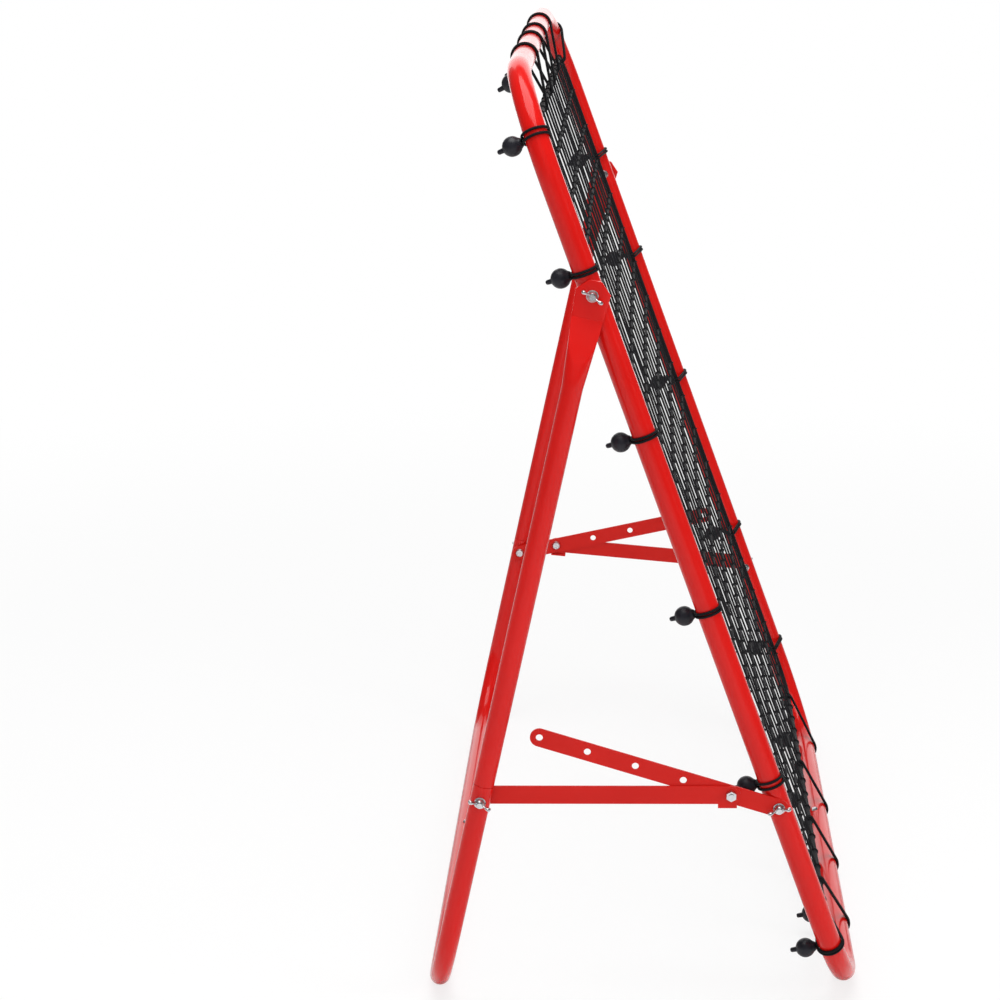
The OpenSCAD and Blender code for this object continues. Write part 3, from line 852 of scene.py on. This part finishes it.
@dataclass(frozen=True)
class BungeeSet:
    """All the ball bungees round the frame, uneven as they were hung.

    Attributes:
        heights: Places on the left and the right stile.
        turns: Places round the left and the right bends in degrees, the lower bend below zero.
        bottom: Places on the bottom rail, each with its drift to the place on the border cord.
        top: Places on the top rail.
        wide: Places on the left side where the strands spread by spread_wide.
    """

    plane: LeaningPlane
    border: BorderCord
    tube: float = 0.0125
    cord: float = 0.0015
    heights: tuple[tuple[float, ...], ...] = (
        (0.272, 0.473, 0.672, 0.854),
        (0.128, 0.306, 0.535, 0.717, 0.859),
    )
    turns: tuple[tuple[float, ...], ...] = ((-21.0, 26.0), (50.0,))
    bottom: tuple[Pair, ...] = (
        (-0.2362152, -0.031),
        (-0.0652236, -0.020),
        (0.1128192, -0.012),
        (0.3340506, 0.016),
    )
    top: tuple[float, ...] = (-0.2040441, -0.048477, 0.0630201, 0.215943)
    rail_slide: float = 0.018
    gap: float = 0.0001
    bend_gap: float = 0.0003
    corner_gap: float = 0.0032
    spread: float = 0.0018
    spread_top: float = 0.0030
    spread_wide: float = 0.0032
    wide: tuple[float, ...] = (0.272, 26.0)

    def bend_reach(self, turn: float) -> float:
        """From the bend's middle line to the border cord's corner arc, along the bungee's direction."""
        p, b = self.plane, self.border
        edge = b.low if turn < 0 else p.height - b.high
        rise = (p.bend - edge - b.corner) * (1 if turn < 0 else -1)
        offset = Vector((p.stile_x - p.bend - b.half_w + b.corner, rise))
        angle = radians(turn)
        dot = offset.dot(Vector((cos(angle), sin(angle))))
        return p.bend - (-dot + sqrt(dot * dot - offset.length_squared + b.corner**2))

    def loops(self, tube_gap: float, border_gap: float) -> Pair:
        """Radii of the cord's turns round the tube and round the border cord."""
        return self.tube + self.cord + tube_gap, self.border.radius + self.cord + border_gap

    def side_spread(self, side: Side, at: float) -> float:
        """A bungee's spread at a height on a stile or at a turn on a bend."""
        return self.spread_wide if side is Side.LEFT and at in self.wide else self.spread

    def on_side(self, side: Side, height: float) -> BallBungee:
        """A bungee on a stile."""
        p = self.plane
        return BallBungee(
            side.mirror @ Matrix.Translation((p.stile_x, 0, height)),
            p.stile_x - self.border.half_w,
            *self.loops(self.gap, self.gap),
            spread=self.side_spread(side, height),
        )

    def on_bend(self, side: Side, turn: float) -> BallBungee:
        """A bungee on a corner bend."""
        p = self.plane
        place = (
            side.mirror
            @ Matrix.Translation((p.stile_x - p.bend, 0, p.bend if turn < 0 else p.height - p.bend))
            @ Matrix.Rotation(-radians(turn), 4, "Y")
            @ Matrix.Translation((p.bend, 0, 0))
        )
        return BallBungee(
            place,
            self.bend_reach(turn),
            *self.loops(self.bend_gap, self.corner_gap),
            spread=self.side_spread(side, turn),
        )

    def on_rail(self, edge: Edge, at: float, drift: float = 0.0) -> BallBungee:
        """A bungee on the top or the bottom rail.

        Args:
            edge: The rail.
            at: Its X.
            drift: How far along X its turn round the border cord lies from it.

        Returns:
            The bungee, placed in the leaning plane's coordinates.
        """
        top = edge is Edge.TOP
        z, quarter = (self.plane.height, -90) if top else (0.0, 90)
        low, high = self.border.reach(at + drift)
        return BallBungee(
            Matrix.Translation((at, 0, z)) @ Matrix.Rotation(radians(quarter), 4, "Y"),
            self.plane.height - high if top else low,
            *self.loops(self.gap, self.gap),
            slide=self.rail_slide,
            drift=drift,
            spread=self.spread_top if top else self.spread,
        )

    def build(self, elastic: Material, plastic: Material) -> None:
        """Make and dress every bungee, one pair of pieces for each CAD group."""
        groups: dict[str, list[BallBungee]] = {}
        for side, heights, turns in zip(Side, self.heights, self.turns):
            groups[side.word] = [self.on_side(side, height) for height in heights]
            groups[side.word] += [self.on_bend(side, turn) for turn in turns]
        groups["top"] = [self.on_rail(Edge.TOP, at) for at in self.top]
        groups["bottom"] = [self.on_rail(Edge.BOTTOM, at, drift) for at, drift in self.bottom]
        for word, bungees in groups.items():
            cords, knobs = [b.strands() for b in bungees], [b.knob() for b in bungees]
            hang = self.plane.hang
            hang(f"elastic_cords_{word}", cords, elastic, "elastic_cord", f"bungee_cords_{word}")
            hang(f"bungee_knobs_{word}", knobs, plastic, "black_plastic", f"bungee_balls_{word}")


# Frame and fasteners


@dataclass(frozen=True)
class RearLeg:
    """An upper leg of the rear support: a tube whose top end is stamped flat round the hinge bolt.

    Its own frame has the hinge bolt along X, Z up the leg and X outward from the stile's axis.
    """

    degrees: float = 11.50839
    offset: float = 0.0283
    radius: float = 0.011
    bore: float = 0.0098
    bore_len: float = 0.004
    edge: float = 0.0003
    seam: float = -0.534
    round_end: float = -0.094
    flat_end: float = -0.024
    shoulder: float = 0.052
    crush: float = 0.012
    squaring: float = 1.6
    flat_from: float = 0.75
    face: float = 0.0128
    thickness: float = 0.003
    plate_power: float = 5.0
    waist: float = 0.01625
    half_w: float = 0.0185
    top: float = 0.016
    trim: float = 0.012
    sides: int = 56
    tube_steps: int = 8
    neck_steps: int = 22
    plate_steps: int = 5

    def tube_ring(self, z: float, radius: float) -> list[Vector]:
        """A round ring of the tube."""
        turns = (2 * pi * k / self.sides for k in range(self.sides))
        return [Vector((self.offset + radius * cos(a), radius * sin(a), z)) for a in turns]

    def plate_ring(self, z: float, half_w: float, inset: float = 0.0) -> list[Vector]:
        """A flat ring with rounded edges, of the stamped end."""
        shape = Sweep(self.sides, self.plate_power)
        halves = (self.thickness / 2 - inset, half_w - inset)
        middle = self.face + self.thickness / 2
        points = (shape.outline(k / self.sides, halves) for k in range(self.sides))
        return [Vector((middle + a, b, z)) for a, b in points]

    def neck_ring(self, z: float) -> list[Vector]:
        """A ring between tube and flat end, cut by the stamp's sloping face.

        Args:
            z: Height, between round_end and flat_end.

        Returns:
            The ring's points.
        """
        share = (z - self.round_end) / (self.flat_end - self.round_end)
        ease = share * share * (3 - 2 * share)
        half_w = self.radius + (self.waist - self.radius) * share
        inner = self.offset - self.radius + (self.face - self.offset + self.radius) * ease
        outer = self.offset + self.radius - self.crush * ease
        shape = Sweep(self.sides, 2 + self.squaring * ease)
        slope = (self.offset + self.radius - self.face - self.thickness) / self.shoulder
        limit = self.face + self.thickness + (self.flat_end - z) * slope
        blend = max(0.0, share - self.flat_from) / (1 - self.flat_from)
        ring = []
        for k, target in enumerate(self.plate_ring(z, half_w)):
            a, b = shape.outline(k / self.sides, ((outer - inner) / 2, half_w))
            point = Vector((min((inner + outer) / 2 + a, limit), b, z))
            if target.x > self.face + self.thickness / 2:
                target.x = min(limit, max(self.face, point.x))
            ring.append(point.lerp(target, blend))
        return ring

    @staticmethod
    def shares(steps: int) -> list[float]:
        """Even shares of a run, up to 1."""
        return [k / steps for k in range(1, steps + 1)]

    def rings(self) -> list[list[Vector]]:
        """All rings, from inside the bore round the open end and up to the stamped end."""
        start, end = self.seam, self.round_end
        tube = [(end - self.bore_len, self.bore), (start, self.bore)]
        tube += [(start, self.radius - self.edge), (start + self.edge, self.radius)]
        tube += [(start + (end - start) * share, self.radius) for share in self.shares(self.tube_steps)]
        rows = [self.tube_ring(z, radius) for z, radius in tube]
        rise = self.flat_end - end
        rows += [self.neck_ring(end + rise * share) for share in self.shares(self.neck_steps)]
        corner, slim = self.top - self.trim, self.half_w - self.trim
        shares = self.shares(self.plate_steps)
        rise, widening = corner - 0.001 - self.flat_end, self.half_w - 0.0002 - self.waist
        # Height and half width; close rings round the bends into and out of the trim.
        plate = [(self.flat_end + rise * share, self.waist + widening * share) for share in shares]
        plate += [(corner, self.half_w), (corner + 0.001, self.half_w - 0.0008)]
        cuts = (self.trim * share for share in shares[:-1])
        plate += [(corner + cut, self.half_w - cut) for cut in cuts]
        plate += [(self.top - 0.001, slim + 0.0012), (self.top - 0.0003, slim - 0.0002)]
        rows += [self.plate_ring(z, half_w) for z, half_w in plate]
        return rows + [self.plate_ring(self.top, slim - 0.0008, inset=0.0004)]

    def build(self, side: Side, finish: Material) -> None:
        """Make and dress one leg."""
        bm = Loft.build(self.rings())
        bm.transform(
            side.mirror
            @ Matrix.Translation((STILE_X, *HINGE))
            @ Matrix.Rotation(radians(self.degrees), 4, "X")
        )
        name = f"rear_leg_{side.word}"
        Workshop.piece(f"stamped_{name}", bm, finish, "rear_support", "red_tube", (name,), sharp=17)


@dataclass(frozen=True)
class WingNut:
    """A cast wing nut on the bolt at pin: a tapered hub and two ears that end in thumb pads."""

    name: str
    body: str
    side: Side
    seat: float
    pin: Pair
    turn: float
    hub: float = 0.005
    height: float = 0.006
    bore: float = 0.0031
    span: float = 0.0125

    def ear(self, sign: int) -> BMesh:
        """One ear, its root in the hub and its pad at the end.

        Args:
            sign: 1 or -1.

        Returns:
            The ear, with the nut's axis along +X.
        """
        tip = self.span - 0.0024
        # Distance from the axis, height above the seat, half thickness and half height.
        stations = [
            (0.0032, 0.0026, 0.0014, 0.0024),
            (0.0046, 0.0036, 0.0012, 0.0026),
            (0.0066, 0.0050, 0.0011, 0.0025),
            (0.0082, 0.0063, 0.0014, 0.0028),
            (tip - 0.0004, 0.0073, 0.0021, 0.0033),
            (tip + 0.0010, 0.0078, 0.0021, 0.0032),
            (tip + 0.0020, 0.0081, 0.0014, 0.0022),
            (tip + 0.0024, 0.0082, 0.0005, 0.0008),
        ]
        line = [Vector((x, sign * y, 0)) for y, x, _, _ in stations]
        sizes = [(high, thick) for _, _, thick, high in stations]
        return Sweep(sides=12, power=2.4).build(line, lambda k: sizes[k], Vector((0, 0, 1)))

    def build(self, finish: Material) -> None:
        """Make and dress the nut."""
        r, h = self.hub, self.height
        profile = [
            (self.bore, 0.0),
            (r, 0.0),
            (r * 1.06, 0.0007),
            (r * 0.98, h * 0.45),
            (r * 0.80, h * 0.93),
            (r * 0.74, h),
            (self.bore + 0.0002, h),
            (self.bore, h - 0.0003),
        ]
        hub = Workshop.turned(profile)
        hub.transform(Matrix.Rotation(pi / 2, 4, "Y"))
        whole = Workshop.merge([hub, self.ear(1), self.ear(-1)])
        whole.transform(
            self.side.mirror
            @ Matrix.Translation((STILE_X + self.seat, *self.pin))
            @ Matrix.Rotation(radians(self.turn), 4, "X")
        )
        Workshop.piece(f"cast_{self.name}", whole, finish, self.body, "zinc", (self.name,), sharp=50)


@dataclass(frozen=True)
class NutSeat:
    """Where the two wing nuts of one name sit; see WingNut for the values."""

    place: str
    pin: Pair
    left: float
    right: float
    turn: float


@dataclass(frozen=True)
class Hardware:
    """Bolts, washers, nuts and screws that hold the frame together."""

    nuts: tuple[NutSeat, ...] = (
        NutSeat("hinge", HINGE, 0.0173, 0.0173, 32.0),
        NutSeat("stile", (-0.1370471, 0.2444190), 0.0163, 0.0185, -15.0),
        NutSeat("leg", (0.1788099, 0.2520543), 0.0408, 0.0408, 22.0),
    )
    plated: tuple[str, ...] = (
        "front_joint_screws",
        "rear_joint_screw",
        "hinge_bolts",
        "stile_bolts",
        "leg_bolts",
        "front_washers",
        "rear_washers",
    )

    def build(self, finish: Material) -> None:
        """Dress the CAD fasteners and make the wing nuts."""
        for node in self.plated:
            Workshop.dress(node, finish)
        for side in Side:
            for part in ("bolt", "nut"):
                Workshop.dress(f"brace_{part}_{side.word}", finish)
            for nut in self.nuts:
                name, body = f"{nut.place}_wing_nut_{side.word}", f"{nut.place}_nut_{side.word}"
                seat = nut.left if side is Side.LEFT else nut.right
                WingNut(name, body, side, seat, nut.pin, nut.turn).build(finish)


@dataclass(frozen=True)
class RedFrame:
    """The powder-coated tubes and bars; the plain tubes and the bars are the CAD model's own."""

    tubes: tuple[str, ...] = ("front_tube_top", "front_tube_bottom", "rear_corner")
    bars: tuple[str, ...] = ("plain_bar", "holed_bar")

    def build(self, gloss: Material, satin: Material) -> None:
        """Dress the tubes and bars and make the stamped legs."""
        for side in Side:
            for node in self.tubes:
                Workshop.dress(f"{node}_{side.word}", gloss)
            RearLeg().build(side, gloss)
            for node in self.bars:
                Workshop.dress(f"{node}_{side.word}", satin)


# Studio


@dataclass(frozen=True)
class PhotoCamera:
    """The camera at the picture's viewing angle."""

    place: Triple = (-2.9759, 0.0330, 1.2648)
    yaw: float = 0.0545
    pitch: float = 0.2556
    roll: float = 0.0054
    focal_px: float = 2535.6
    middle: Pair = (490.8, 473.3)
    frame_px: float = 1000.0
    sensor: float = 36.0

    def build(self) -> None:
        """Make the camera and look through it."""
        level, down = cos(self.pitch), -sin(self.pitch)
        ahead = Vector((cos(self.yaw) * level, sin(self.yaw) * level, down))
        aside = ahead.cross(Vector((0, 0, 1))).normalized()
        rise = aside.cross(ahead)
        right = aside * cos(self.roll) + rise * sin(self.roll)
        up = rise * cos(self.roll) - aside * sin(self.roll)
        lens = bpy.data.cameras.new("photo_camera")
        lens.sensor_width = self.sensor
        lens.lens = self.focal_px / self.frame_px * self.sensor
        lens.shift_x = (self.frame_px / 2 - self.middle[0]) / self.frame_px
        lens.shift_y = (self.middle[1] - self.frame_px / 2) / self.frame_px
        lens.clip_start, lens.clip_end = 0.05, 60
        eye = bpy.data.objects.new("photo_camera", lens)
        turned = Matrix((right, up, -ahead)).transposed().to_4x4()
        eye.matrix_world = Matrix.Translation(self.place) @ turned
        bpy.context.scene.collection.objects.link(eye)
        bpy.context.scene.camera = eye


@dataclass(frozen=True)
class Studio:
    """White floor, white surroundings, soft lamps and a bright wall behind for the tubes to mirror."""

    floor_half: float = 14.0
    ambient: float = 0.4
    mirrored: float = 0.12
    aim: Triple = (0.0, 0.0, 0.5)

    def lamp(
        self,
        name: str,
        place: Triple,
        size: float,
        power: float,
        reflected: bool = True,
        lights: bool = True,
    ) -> None:
        """Hang a square soft lamp that faces the object.

        Args:
            name: The lamp's name.
            place: Where it hangs.
            size: The side of its square.
            power: Its power in watts.
            reflected: Whether glossy surfaces mirror it.
            lights: Whether it lights the object too, and isn't only mirrored.
        """
        light = bpy.data.lights.new(name, "AREA")
        light.shape, light.size, light.energy = "SQUARE", size, power
        thing = bpy.data.objects.new(name, light)
        thing.location = place
        thing.rotation_euler = (Vector(self.aim) - Vector(place)).to_track_quat("-Z", "Y").to_euler()
        thing.visible_glossy, thing.visible_diffuse = reflected, lights
        thing.visible_camera = False
        bpy.context.scene.collection.objects.link(thing)

    def surroundings(self) -> None:
        """White to the camera, softer as a light and in reflections."""
        world = bpy.data.worlds.new("studio_world")
        bpy.context.scene.world = world
        world.use_nodes = True
        tree = world.node_tree
        tree.nodes.clear()
        rays = tree.nodes.new("ShaderNodeLightPath")
        strength: NodeSocket | None = None
        steps = (("Is Glossy Ray", self.ambient, self.mirrored), ("Is Camera Ray", 0.0, 1.0))
        for ray, dim, bright in steps:
            step = tree.nodes.new("ShaderNodeMapRange")
            step.inputs["To Min"].default_value = dim
            step.inputs["To Max"].default_value = bright
            tree.links.new(rays.outputs[ray], step.inputs["Value"])
            if strength is not None:
                tree.links.new(strength, step.inputs["To Min"])
            strength = step.outputs["Result"]
        sky = tree.nodes.new("ShaderNodeBackground")
        sky.inputs["Color"].default_value = (1, 1, 1, 1)
        tree.links.new(strength, sky.inputs["Strength"])
        out = tree.nodes.new("ShaderNodeOutputWorld")
        tree.links.new(sky.outputs["Background"], out.inputs["Surface"])

    def build(self) -> None:
        """Lay the floor, set the surroundings and hang the lamps."""
        bm = bmesh.new()
        bmesh.ops.create_grid(bm, x_segments=2, y_segments=2, size=self.floor_half)
        mesh = bpy.data.meshes.new("studio_floor")
        bm.to_mesh(mesh)
        bm.free()
        mesh.materials.append(StudioFloor().material())
        floor = bpy.data.objects.new("studio_floor", mesh)
        bpy.context.scene.collection.objects.link(floor)
        self.surroundings()
        self.lamp("overhead_lamp", (-0.5, 0.2, 3.2), size=2.2, power=75)
        self.lamp("front_lamp", (-1.8, -3.2, 1.5), size=1.6, power=40, reflected=False)
        self.lamp("camera_lamp", (-3.6, 0.2, 2.0), size=3.0, power=34, reflected=False)
        self.lamp("back_wall", (3.4, 0.0, 1.7), size=4.2, power=90, lights=False)


def main() -> None:
    """Build every sub-assembly, then the studio round it."""
    logging.basicConfig(level=logging.INFO, format="%(message)s")
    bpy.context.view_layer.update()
    PhotoCamera().build()

    bright, full = (0.56, 0.006, 0.004), (0.61, 0.008, 0.006)
    gloss_red = PowderCoat("red_gloss_powder", bright, full, smooth=0.18, rough=0.26, coat=0.24)
    dull, pale = (0.52, 0.010, 0.007), (0.57, 0.013, 0.009)
    satin_red = PowderCoat("red_satin_powder", dull, pale, smooth=0.36, rough=0.48, coat=0.05)
    zinc = ZincPlate().material()
    twine = TwistedTwine().material()
    # For each braided jacket, the first colour is the painted shade in the weave's hollows and the second
    # is the colour on its raised yarns.
    black, grey = (0.005, 0.005, 0.006), (0.013, 0.013, 0.015)
    jacket = BraidedJacket("border_jacket", black, grey, pick=0.006, depth=0.0004)
    black, grey = (0.004, 0.004, 0.005), (0.012, 0.012, 0.014)
    elastic = BraidedJacket("elastic_jacket", black, grey, pick=0.0022, depth=0.00025)
    plastic = MouldedPlastic().material()

    plane = LeaningPlane()
    border = BorderCord(plane)
    RedFrame().build(gloss_red.material(), satin_red.material())
    Hardware().build(zinc)
    border.build(jacket.material())
    MeshNet(border).build(twine)
    BungeeSet(plane, border).build(elastic.material(), plastic)
    Studio().build()

    bpy.context.scene.view_settings.view_transform = "Standard"


if __name__ == "__main__":
    main()
